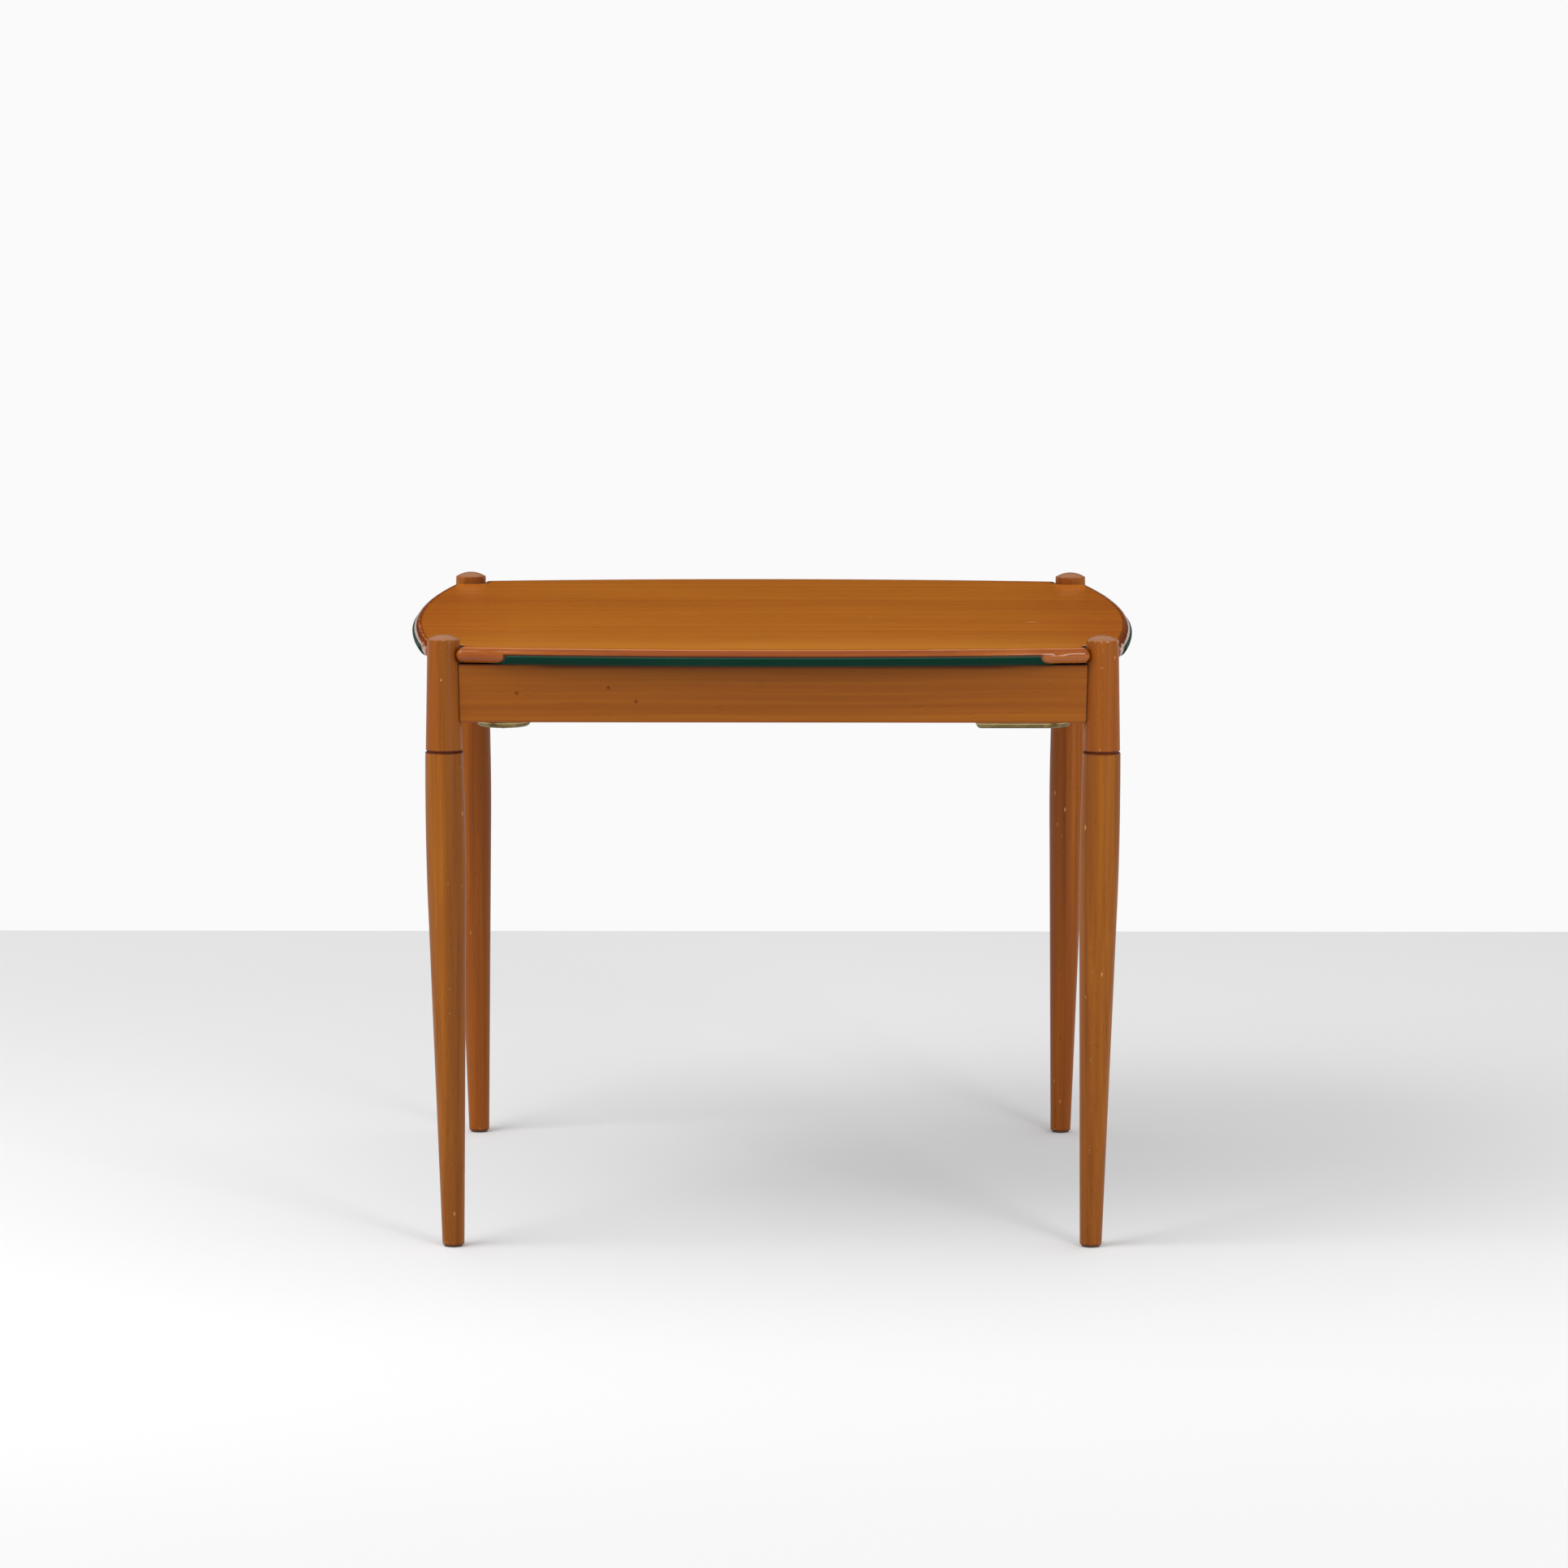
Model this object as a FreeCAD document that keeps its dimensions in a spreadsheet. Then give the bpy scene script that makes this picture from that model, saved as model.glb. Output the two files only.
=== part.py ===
import FreeCAD, Part
import Sketcher
import math
import os

# Square games table for four: a lift-off board with a polished wood side and a
# green playing side, held between four turned posts, with a brass tray on a
# pivot under each side.  Millimetres, +Z up, +X right, +Y back.  The origin is
# the middle of the floor under the table.

# Driving sizes
SIZES = {
    # frame
    "post_spacing": 762.0,
    "board_height": 707.0,
    "board_thickness": 17.5,
    "knob_rise": 13.0,
    "knob_dome": 5.0,
    "knob_edge_round": 1.3,
    "post_top_radius": 18.8,
    "post_foot_radius": 21.2,
    "post_foot_round": 1.6,
    "post_below_rail": 33.6,
    "cope_gap": 0.15,
    # rails
    "rail_height": 68.0,
    "rail_thickness": 20.0,
    "rail_top_round": 0.8,
    "rail_bottom_round": 1.6,
    "tenon_thickness": 9.0,
    "tenon_shoulder_low": 8.0,
    "tenon_shoulder_high": 10.0,
    "tenon_end_gap": 5.5,
    "mortise_gap": 0.05,
    # rest pads under the bare corners of the board
    "cloth_over_rail": 1.0,
    "pad_radius": 5.5,
    "pad_to_cloth": 1.5,
    # legs
    "toe_in": 8.0,
    "neck_height": 1.2,
    "neck_radius": 19.0,
    "leg_top_radius": 21.9,
    "leg_top_round": 1.6,
    "belly_drop": 105.0,
    "belly_radius": 23.0,
    "taper_drop": 185.0,
    "foot_radius": 12.9,
    "foot_round": 2.0,
    "stud_radius": 4.0,
    "stud_in_leg": 30.0,
    "stud_in_post": 19.0,
    "insert_radius": 6.5,
    "insert_length": 20.0,
    "thread_gap": 0.05,
    "glide_thickness": 2.0,
    "glide_radius": 10.4,
    "glide_pin_radius": 1.6,
    "glide_pin_length": 12.0,
    # corner blocks and their screws
    "block_side": 120.0,
    "block_blunt": 12.0,
    "block_height": 30.0,
    "block_lift": 2.0,
    "screw_radius": 2.0,
    "screw_head_radius": 4.0,
    "screw_head_height": 2.4,
    "screw_head_depth": 28.0,
    "screw_in_rail": 14.0,
    "screw_offset": 28.0,
    "screw_tip": 3.0,
    "counterbore_gap": 0.3,
    # trays and their pivots
    "tray_inset": 67.0,
    "pivot_inset": 51.0,
    "tray_far": 96.4,
    "tray_round_offset": 13.5,
    "tray_half_width": 34.6,
    "tray_corner": 10.0,
    "tray_draft": 5.2,
    "tray_depth": 11.3,
    "tray_wall": 1.2,
    "tray_floor_round": 3.6,
    "tray_drop": 1.0,
    "rim_width": 1.4,
    "rim_thickness": 2.0,
    "rim_round": 0.9,
    "pivot_radius": 2.5,
    "pivot_gap": 0.05,
    "pivot_in_block": 24.0,
    "pivot_head_radius": 5.2,
    "pivot_head_height": 1.3,
    "spacer_radius": 4.5,
    "washer_radius": 6.5,
    "washer_thickness": 0.5,
    "float_gap": 0.05,
    # board
    "edge_past_post": 19.0,
    "side_bow": 31.4,
    "notch_gap": 1.2,
    "tip_round": 7.0,
    "edge_flat": 1.1,
    "lipping_width": 26.0,
    "veneer_thickness": 0.8,
    "cloth_clear_of_post": 30.0,
    "cloth_past_round": 1.3,
    "cloth_thickness": 1.5,
    "cloth_proud": 2.4,
    "cloth_rebate": 0.8,
    # one overrun for every cut
    "overrun": 5.0,
}

CORNERS = ["front_right", "back_right", "back_left", "front_left"]
SIDES = ["front", "right", "back", "left"]

doc = FreeCAD.newDocument("games_table")
sheet = doc.addObject("Spreadsheet::Sheet", "Sizes")
for row, (alias, value) in enumerate(SIZES.items(), start=1):
    sheet.set(f"A{row}", alias)
    sheet.set(f"B{row}", repr(value))
    sheet.setAlias(f"B{row}", alias)
doc.recompute()


class Size:
    """A number together with the sheet expression that gives it."""

    def __init__(self, value, text):
        self.value = value
        self.text = text

    def __add__(self, other):
        other = as_size(other)
        return Size(self.value + other.value, f"({self.text} + {other.text})")

    def __sub__(self, other):
        other = as_size(other)
        return Size(self.value - other.value, f"({self.text} - {other.text})")

    def __rsub__(self, other):
        return as_size(other) - self

    def __mul__(self, other):
        other = as_size(other)
        return Size(self.value * other.value, f"({self.text} * {other.text})")

    def __truediv__(self, other):
        other = as_size(other)
        return Size(self.value / other.value, f"({self.text} / {other.text})")

    def __neg__(self):
        return Size(-self.value, f"(0 - {self.text})")

    __radd__ = __add__
    __rmul__ = __mul__


def as_size(number):
    if isinstance(number, Size):
        return number
    return Size(float(number), repr(number))


def root(size):
    return Size(math.sqrt(size.value), f"sqrt({size.text})")


def named(alias):
    return Size(float(sheet.get(alias)), f"Sizes.{alias}")


def bind(item, prop, size):
    """Sets a property and ties it to the sheet."""
    size = as_size(size)
    setattr(item, prop, size.value)
    item.setExpression(prop, size.text)


def turned(x, y, quarters):
    """A point of the front or front right piece, turned to another side."""
    x, y = as_size(x), as_size(y)
    return [(x, y), (-y, x), (-x, -y), (y, -x)][quarters % 4]


def place(item, x=0, y=0, z=0, quarters=0, tilt=None):
    """Puts a piece at a point given for the front right corner, then turned."""
    spin = FreeCAD.Rotation(FreeCAD.Vector(0, 0, 1), 90 * quarters)
    if tilt is not None:
        spin = spin.multiply(tilt)
    x, y = turned(x, y, quarters)
    z = as_size(z)
    item.Placement = FreeCAD.Placement(FreeCAD.Vector(x.value, y.value, z.value), spin)
    for axis, size in (("x", x), ("y", y), ("z", z)):
        item.setExpression(f"Placement.Base.{axis}", size.text)


# Sketches, bodies and features

def new_body(name):
    body = doc.addObject("PartDesign::Body", name)
    body.Label = name
    return body


def new_sketch(body, role, name, lift=None):
    """A sketch on one of the body's own origin planes, lifted if asked."""
    sketch = body.newObject("Sketcher::SketchObject", name)
    plane = [p for p in body.Origin.OriginFeatures if p.Role == role][0]
    sketch.AttachmentSupport = (plane, "")
    sketch.MapMode = "FlatFace"
    if lift is not None:
        sketch.AttachmentOffset = FreeCAD.Placement(
            FreeCAD.Vector(0, 0, lift.value), FreeCAD.Rotation())
        sketch.setExpression("AttachmentOffset.Base.z", lift.text)
    return sketch


def hold(sketch, kind, index, position, size):
    """Ties one coordinate of a sketch point to the sheet."""
    number = sketch.addConstraint(
        Sketcher.Constraint(kind, -1, 1, index, position, size.value))
    if size.value != 0 or "Sizes" in size.text:
        sketch.setExpression(f"Constraints[{number}]", size.text)


def draw(sketch, points, bends=None):
    """A closed outline through points.

    bends maps the number of a point to (radius, side) where the edge that
    leaves it is an arc: side 1 turns left along the outline, -1 turns right.
    """
    bends = bends or {}
    points = [(as_size(x), as_size(y)) for x, y in points]
    ends = []
    for number, (start, finish) in enumerate(zip(points, points[1:] + points[:1])):
        first = FreeCAD.Vector(start[0].value, start[1].value, 0)
        last = FreeCAD.Vector(finish[0].value, finish[1].value, 0)
        if number not in bends:
            index = sketch.addGeometry(Part.LineSegment(first, last))
            ends.append((index, 1, 2))
            continue
        radius, side = bends[number]
        chord = last - first
        half = chord.Length / 2
        rise = math.sqrt(max(0.0, radius.value ** 2 - half ** 2))
        left = FreeCAD.Vector(-chord.y, chord.x, 0).normalize()
        centre = (first + last) / 2 + left * (rise * side)
        if side < 0:
            first, last = last, first
        start_angle = math.atan2(first.y - centre.y, first.x - centre.x)
        end_angle = math.atan2(last.y - centre.y, last.x - centre.x)
        circle = Part.Circle(centre, FreeCAD.Vector(0, 0, 1), radius.value)
        index = sketch.addGeometry(Part.ArcOfCircle(circle, start_angle, end_angle))
        ends.append((index, 1, 2) if side > 0 else (index, 2, 1))
    count = len(points)
    for number in range(count):
        index, _, finish = ends[number]
        following, start, _ = ends[(number + 1) % count]
        sketch.addConstraint(
            Sketcher.Constraint("Coincident", index, finish, following, start))
    for number, (x, y) in enumerate(points):
        index, start, _ = ends[number]
        hold(sketch, "DistanceX", index, start, x)
        hold(sketch, "DistanceY", index, start, y)
    for number, (radius, _) in bends.items():
        constraint = sketch.addConstraint(
            Sketcher.Constraint("Radius", ends[number][0], radius.value))
        sketch.setExpression(f"Constraints[{constraint}]", radius.text)


def pad(body, sketch, length, midplane=False):
    feature = body.newObject("PartDesign::Pad", f"{body.Name}_pad")
    feature.Profile = sketch
    bind(feature, "Length", length)
    feature.Midplane = midplane
    return feature


def revolve(name, points, bends=None):
    """A turned piece: its half section, in radius and height, spun round Z."""
    body = new_body(name)
    sketch = new_sketch(body, "XZ_Plane", f"{name}_section")
    draw(sketch, points, bends)
    feature = body.newObject("PartDesign::Revolution", f"{name}_turning")
    feature.Profile = sketch
    feature.ReferenceAxis = (sketch, ["V_Axis"])
    feature.Angle = 360
    return body


def round_edges(body, base, radius, wanted):
    """Rounds those edges of a feature that the test picks."""
    doc.recompute()
    names = [f"Edge{n}" for n, edge in enumerate(base.Shape.Edges, start=1) if wanted(edge)]
    feature = body.newObject("PartDesign::Fillet", f"{body.Name}_round")
    feature.Base = (base, names)
    bind(feature, "Radius", radius)
    doc.recompute()
    return feature


# How near, in millimetres, a point counts as lying at a height
TOUCH = 0.001


def lies_at(edge, z):
    return all(abs(vertex.Z - z.value) < TOUCH for vertex in edge.Vertexes)


def box(name, x_low, x_high, y_low, y_high, z_low, z_high):
    item = doc.addObject("Part::Box", name)
    bind(item, "Length", x_high - x_low)
    bind(item, "Width", y_high - y_low)
    bind(item, "Height", z_high - z_low)
    place(item, x_low, y_low, z_low)
    return item


def cylinder(name, radius, height, x=0, y=0, z=0, tilt=None):
    item = doc.addObject("Part::Cylinder", name)
    bind(item, "Radius", radius)
    bind(item, "Height", height)
    place(item, x, y, z, tilt=tilt)
    return item


def join(kind, name, base, tool):
    item = doc.addObject(f"Part::{kind}", name)
    item.Base = base
    item.Tool = tool
    item.Refine = True
    item.Label = name
    return item


def cut(name, base, *tools):
    """Cuts each tool away in turn; the last cut has the name."""
    for number, tool in enumerate(tools, start=1):
        step = name if number == len(tools) else f"{name}_cut_{number}"
        base = join("Cut", step, base, tool)
    return base


def group(name, items):
    item = doc.addObject("Part::Compound", name)
    item.Links = items
    item.Label = name
    return item


nodes = {}


def keep(item, quarters=None):
    """Marks a piece as a node, turned to its corner or side."""
    if quarters is not None:
        place(item, quarters=quarters)
    nodes[item.Label] = item
    return item


# Sizes that follow from the driving ones

post_reach = named("post_spacing") / 2
board_top = named("board_height")
board_under = board_top - named("board_thickness")
pad_thickness = named("cloth_thickness") + named("cloth_over_rail")
rail_top = board_under - pad_thickness
rail_bottom = rail_top - named("rail_height")
apex = board_top + named("knob_rise")
joint = rail_bottom - named("post_below_rail")
overrun = named("overrun")
half_rail = named("rail_thickness") / 2
rail_inner = post_reach - half_rail
block_bottom = rail_bottom + named("block_lift")
block_top = block_bottom + named("block_height")
tray_top = rail_bottom - named("tray_drop")
tray_bottom = tray_top - named("tray_depth")
tray_floor = tray_bottom + named("tray_wall")
pivot_x = post_reach - named("pivot_inset")
pivot_y = -(post_reach - named("tray_inset"))
cloth_reach = post_reach * root(as_size(2)) - named("cloth_clear_of_post")


# Posts

def post_profile(grow):
    """Half section of a post, grown evenly to make the tool that copes to it."""
    foot = named("post_foot_radius") + grow
    top = named("post_top_radius") + grow
    foot_round, edge_round = named("post_foot_round"), named("knob_edge_round")
    rim = apex - named("knob_dome")
    dome_width = top - edge_round
    dome = named("knob_dome")
    dome_radius = (dome_width * dome_width + dome * dome) / (dome * 2)
    points = [
        (0, joint),
        (foot - foot_round, joint),
        (foot, joint + foot_round),
        (top, rim - edge_round),
        (dome_width, rim),
        (0, apex),
    ]
    bends = {1: (foot_round, 1), 3: (edge_round, 1), 4: (dome_radius, 1)}
    return points, bends


# Both rails' tenons stop short of the middle of the post, in mortises a hair larger.
tenon_reach = post_reach - named("tenon_end_gap")
half_tenon = named("tenon_thickness") / 2
tenon_low = rail_bottom + named("tenon_shoulder_low")
tenon_high = rail_top - named("tenon_shoulder_high")
mortise_gap = named("mortise_gap")
mortise_reach = tenon_reach + mortise_gap
half_mortise = half_tenon + mortise_gap

post_turning = revolve("post_turning", *post_profile(as_size(0)))
place(post_turning, post_reach, -post_reach)
front_mortise = box("front_mortise", 0, mortise_reach,
                    -post_reach - half_mortise, -post_reach + half_mortise,
                    tenon_low - mortise_gap, tenon_high + mortise_gap)
side_mortise = box("side_mortise", post_reach - half_mortise, post_reach + half_mortise,
                   -mortise_reach, 0, tenon_low - mortise_gap, tenon_high + mortise_gap)
insert_hole = cylinder("insert_hole", named("insert_radius"), named("insert_length") + overrun,
                       post_reach, -post_reach, joint - overrun)
for quarter, corner in enumerate(CORNERS):
    post = cut(f"post_{corner}", post_turning, front_mortise, side_mortise, insert_hole)
    keep(post, quarter)


# Rails

def rail_section(sketch):
    """A rail's cross section: softened at the bottom, barely eased at the top."""
    low, high = named("rail_bottom_round"), named("rail_top_round")
    front, back = -post_reach - half_rail, -post_reach + half_rail
    draw(sketch, [
        (front + low, rail_bottom), (back - low, rail_bottom),
        (back, rail_bottom + low), (back, rail_top - high),
        (back - high, rail_top), (front + high, rail_top),
        (front, rail_top - high), (front, rail_bottom + low),
    ], {1: (low, 1), 3: (high, 1), 5: (high, 1), 7: (low, 1)})


rail_blank = new_body("rail_blank")
section = new_sketch(rail_blank, "YZ_Plane", "rail_section")
rail_section(section)
pad(rail_blank, section, post_reach * 2, midplane=True)

# The ends are coped to the posts with a tool that is a hair larger than a post.
right_cope = revolve("right_cope", *post_profile(named("cope_gap")))
place(right_cope, post_reach, -post_reach)
left_cope = revolve("left_cope", *post_profile(named("cope_gap")))
place(left_cope, -post_reach, -post_reach)

tenon_bar = box("tenon_bar", -tenon_reach, tenon_reach, -post_reach - half_tenon,
                -post_reach + half_tenon, tenon_low, tenon_high)

# Each rail takes the points of two block screws, one near either end.
screw_z = (block_bottom + block_top) / 2
screw_x = rail_inner - named("block_side") + named("screw_offset")
screw_hole_radius = named("screw_radius") + named("thread_gap")
outward = FreeCAD.Rotation(FreeCAD.Vector(1, 0, 0), 90)
sideways = FreeCAD.Rotation(FreeCAD.Vector(0, 1, 0), 90)
screw_length = named("screw_in_rail") + named("screw_head_depth")


def screw_hole(name, x):
    """A hole that runs from inside the table into the front rail."""
    depth = screw_length + named("thread_gap")
    return cylinder(name, screw_hole_radius, depth, x,
                    -rail_inner + named("screw_head_depth"), screw_z, tilt=outward)


right_pilot = screw_hole("right_pilot", screw_x)
left_pilot = screw_hole("left_pilot", -screw_x)
coped_rail = cut("coped_rail", rail_blank, right_cope, left_cope)
tenoned_rail = join("Fuse", "tenoned_rail", coped_rail, tenon_bar)
for quarter, side in enumerate(SIDES):
    keep(cut(f"rail_{side}", tenoned_rail, right_pilot, left_pilot), quarter)


# Rest pads: two on the rails beside each post, under the bare wood of the board,
# just clear of the slanting edge of the cloth, which they hold off the rails

pad_slant = cloth_reach + named("pad_radius") + named("pad_to_cloth")
pad_x = pad_slant * root(as_size(2)) - post_reach
for quarter, corner in enumerate(CORNERS):
    on_front = cylinder(f"pad_on_rail_{corner}", named("pad_radius"), pad_thickness,
                        pad_x, -post_reach, rail_top)
    on_side = cylinder(f"pad_on_side_rail_{corner}", named("pad_radius"), pad_thickness,
                       post_reach, -pad_x, rail_top)
    keep(group(f"rest_pads_{corner}", [on_front, on_side]), quarter)


# Legs: turned, swelling to a belly and tapering to the foot, toed in a little

toe_in = named("toe_in")
leg_length = root(joint * joint + toe_in * toe_in * 2)
leg_axis = FreeCAD.Vector(-toe_in.value, toe_in.value, -joint.value)
leg_lean = FreeCAD.Rotation(FreeCAD.Vector(0, 0, -1), leg_axis)


def leg_profile():
    """Half section of a leg, from the neck at height zero down to the foot."""
    neck, top = named("neck_radius"), named("leg_top_radius")
    belly, foot = named("belly_radius"), named("foot_radius")
    top_round, foot_round = named("leg_top_round"), named("foot_round")
    shoulder = -named("neck_height") - top_round
    foot_end = -leg_length + named("glide_thickness")
    foot_start = foot_end + foot_round
    swell_height = named("belly_drop") + shoulder
    swell = belly - top
    swell_radius = (swell * swell + swell_height * swell_height) / (swell * 2)
    curve_height = named("taper_drop") - named("belly_drop")
    taper_height = -named("taper_drop") - foot_start
    curve_radius = (curve_height * curve_height / 2
                    + curve_height * taper_height) / (belly - foot)
    taper_top = belly - curve_height * curve_height / (curve_radius * 2)
    points = [
        (0, -leg_length - overrun),
        (foot - foot_round, -leg_length - overrun),
        (foot - foot_round, foot_end),
        (foot, foot_start),
        (taper_top, -named("taper_drop")),
        (belly, -named("belly_drop")),
        (top, shoulder),
        (top - top_round, -named("neck_height")),
        (neck, -named("neck_height")),
        (neck, overrun),
        (0, overrun),
    ]
    bends = {2: (foot_round, 1), 4: (curve_radius, 1), 5: (swell_radius, 1),
             6: (top_round, 1)}
    return points, bends


leg_turning = revolve("leg_turning", *leg_profile())
place(leg_turning, post_reach, -post_reach, joint, tilt=leg_lean)
foot_x = post_reach - toe_in
leg_room = box("leg_room", 0, post_reach * 2, -(post_reach * 2), 0,
               named("glide_thickness"), joint)
level_leg = join("Common", "level_leg", leg_turning, leg_room)
stud_hole = cylinder("stud_hole", named("stud_radius") + named("thread_gap"),
                     named("stud_in_leg") + overrun, post_reach, -post_reach,
                     joint - named("stud_in_leg"))
glide_hole = cylinder("glide_hole", named("glide_pin_radius") + named("thread_gap"),
                      named("glide_pin_length") + overrun, foot_x, -foot_x,
                      named("glide_thickness") - overrun)
stud_length = named("stud_in_leg") + named("stud_in_post")
glide_points = [
    (0, 0), (named("glide_radius"), 0),
    (named("glide_radius"), named("glide_thickness")),
    (named("glide_pin_radius"), named("glide_thickness")),
    (named("glide_pin_radius"), named("glide_thickness") + named("glide_pin_length")),
    (0, named("glide_thickness") + named("glide_pin_length")),
]
for quarter, corner in enumerate(CORNERS):
    keep(cut(f"leg_{corner}", level_leg, stud_hole, glide_hole), quarter)

    stud = cylinder(f"leg_stud_{corner}", named("stud_radius"), stud_length)
    place(stud, post_reach, -post_reach, joint - named("stud_in_leg"), quarter)
    keep(stud)

    sleeve = cylinder(f"insert_sleeve_{corner}", named("insert_radius"),
                      named("insert_length"), post_reach, -post_reach, joint)
    bore = cylinder(f"insert_bore_{corner}", named("stud_radius") + named("thread_gap"),
                    named("insert_length") + overrun * 2, post_reach, -post_reach,
                    joint - overrun)
    keep(cut(f"leg_insert_{corner}", sleeve, bore), quarter)

    glide = revolve(f"foot_glide_{corner}", glide_points)
    place(glide, foot_x, -foot_x, 0, quarter)
    keep(glide)


# Corner blocks and the screws that hold them to the rails

block_body = new_body("block_body")
block_sketch = new_sketch(block_body, "XY_Plane", "block_outline", block_bottom)
block_far = rail_inner - named("block_side")
block_near = rail_inner - named("block_blunt")
draw(block_sketch, [
    (rail_inner, -rail_inner), (rail_inner, -block_far), (block_near, -block_far),
    (block_far, -block_near), (block_far, -rail_inner),
])
pad(block_body, block_sketch, named("block_height"))
bore_radius = named("screw_head_radius") + named("counterbore_gap")
bore_depth = named("block_side") + named("screw_head_height")
head_from_rail = rail_inner - named("screw_head_depth")
front_screw_hole = screw_hole("front_screw_hole", screw_x)
side_screw_hole = cylinder("side_screw_hole", screw_hole_radius, screw_length,
                           head_from_rail, -screw_x, screw_z, tilt=sideways)
front_counterbore = cylinder("front_counterbore", bore_radius, bore_depth, screw_x,
                             named("block_side") - head_from_rail, screw_z, tilt=outward)
side_counterbore = cylinder("side_counterbore", bore_radius, bore_depth,
                            head_from_rail - named("block_side"), -screw_x, screw_z,
                            tilt=sideways)
pivot_hole = cylinder("pivot_hole", named("pivot_radius") + named("pivot_gap"),
                      named("pivot_in_block") + overrun, pivot_x, pivot_y,
                      block_bottom - overrun)
for quarter, corner in enumerate(CORNERS):
    keep(cut(f"corner_block_{corner}", block_body, right_cope, front_screw_hole,
             side_screw_hole, front_counterbore, side_counterbore, pivot_hole), quarter)

shank, head = named("screw_radius"), named("screw_head_radius")
screw_points = [
    (0, 0), (head, 0), (head, named("screw_head_height")),
    (shank, named("screw_head_height")),
    (shank, screw_length - named("screw_tip")), (0, screw_length),
]
block_screws = []
for quarter, corner in enumerate(CORNERS):
    front_screw = revolve(f"front_screw_{corner}", screw_points)
    place(front_screw, screw_x, -head_from_rail, screw_z, quarter, tilt=outward)
    side_screw = revolve(f"side_screw_{corner}", screw_points)
    place(side_screw, head_from_rail, -screw_x, screw_z, quarter, tilt=sideways)
    block_screws += [front_screw, side_screw]
keep(group("corner_block_screws", block_screws))


# Trays: a pressed brass dish with a round end at its pivot

# How far in and up the foot's round is at each step from floor to wall
FOOT_SHARES = [(0.9, 0.0), (0.38, 0.13), (0.1, 0.42), (0.0, 0.9)]


def tray_outline(sketch, inset):
    """The tongue shape about the pivot, drawn in by an inset."""
    half = named("tray_half_width") - inset
    far = named("tray_far") - inset
    corner = named("tray_corner") - inset
    centre = named("tray_round_offset")
    points = [
        (-far + corner, -half), (-centre, -half), (-centre + half, 0), (-centre, half),
        (-far + corner, half), (-far, half - corner), (-far, -half + corner),
    ]
    bends = {1: (half, 1), 2: (half, 1), 4: (corner, 1), 6: (corner, 1)}
    draw(sketch, points, bends)


def tray_form(name, inset, bottom, foot_round):
    """A drafted tongue with a rounded foot, for the outside or the hollow."""
    body = new_body(name)
    height = tray_top - bottom
    sections = []
    for in_share, up_share in FOOT_SHARES:
        lift = foot_round * up_share
        draft = named("tray_draft") * (height - lift) / height
        sketch = new_sketch(body, "XY_Plane", f"{name}_section", bottom + lift)
        tray_outline(sketch, inset + draft + foot_round * in_share)
        sections.append(sketch)
    brim = new_sketch(body, "XY_Plane", f"{name}_brim", tray_top)
    tray_outline(brim, inset)
    sides = body.newObject("PartDesign::AdditiveLoft", f"{name}_sides")
    sides.Profile = sections[0]
    sides.Sections = sections[1:] + [brim]
    sides.Ruled = True
    return body


def tray_rim(name):
    """The rolled rim, still filled: its outer edge is rounded over."""
    body = new_body(name)
    low = tray_top - named("rim_thickness")
    outline = new_sketch(body, "XY_Plane", f"{name}_outer", low)
    tray_outline(outline, -named("rim_width"))
    ring = pad(body, outline, named("rim_thickness"))
    round_edges(body, ring, named("rim_round"),
                lambda edge: lies_at(edge, low) or lies_at(edge, tray_top))
    return body


tray_outside = tray_form("tray_outside", as_size(0), tray_bottom, named("tray_floor_round"))
tray_hollow = tray_form("tray_hollow", named("tray_wall"), tray_floor,
                        named("tray_floor_round") - named("tray_wall"))
tray_ring = tray_rim("tray_ring")
tray_solid = join("Fuse", "tray_solid", tray_outside, tray_ring)
tray_blank = cut("tray_blank", tray_solid, tray_hollow)
tray_hole = cylinder("tray_hole", named("pivot_radius") + named("pivot_gap"),
                     named("tray_depth"), 0, 0, tray_bottom - named("tray_wall"))
washer_top = tray_bottom - named("float_gap")
head_top = washer_top - named("washer_thickness")
pivot_head, pivot_shank = named("pivot_head_radius"), named("pivot_radius")
head_height = named("pivot_head_height")
head_dome = (pivot_head * pivot_head + head_height * head_height) / (head_height * 2)
pivot_points = [
    (0, head_top - head_height), (pivot_head, head_top), (pivot_shank, head_top),
    (pivot_shank, block_bottom + named("pivot_in_block")),
    (0, block_bottom + named("pivot_in_block")),
]
sleeve_bottom = tray_floor + named("float_gap")
pivot_bore = cylinder("pivot_bore", named("pivot_radius") + named("pivot_gap"),
                      named("tray_depth") * 2, pivot_x, pivot_y, head_top - overrun)
for quarter, side in enumerate(SIDES):
    tray = cut(f"tray_{side}", tray_blank, tray_hole)
    place(tray, pivot_x, pivot_y, 0, quarter)
    keep(tray)

    screw = revolve(f"tray_pivot_{side}", pivot_points, {0: (head_dome, 1)})
    place(screw, pivot_x, pivot_y, 0, quarter)
    keep(screw)

    tube = cylinder(f"spacer_tube_{side}", named("spacer_radius"),
                    block_bottom - sleeve_bottom, pivot_x, pivot_y, sleeve_bottom)
    keep(cut(f"tray_spacer_{side}", tube, pivot_bore), quarter)

    disc = cylinder(f"washer_disc_{side}", named("washer_radius"),
                    named("washer_thickness"), pivot_x, pivot_y, head_top)
    keep(cut(f"tray_washer_{side}", disc, pivot_bore), quarter)


# Board: core, solid lippings, face veneer and playing cloth

# The edge is rounded over above and below, with a narrow flat between.
edge_round = (named("board_thickness") - named("edge_flat")) / 2

# Each side is one arc about a point beyond the opposite side.
side_bow = named("side_bow")
side_radius = (post_reach * post_reach + side_bow * side_bow) / (side_bow * 2)
side_reach = post_reach + named("edge_past_post") + side_bow
side_offset = side_radius - side_reach


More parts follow.
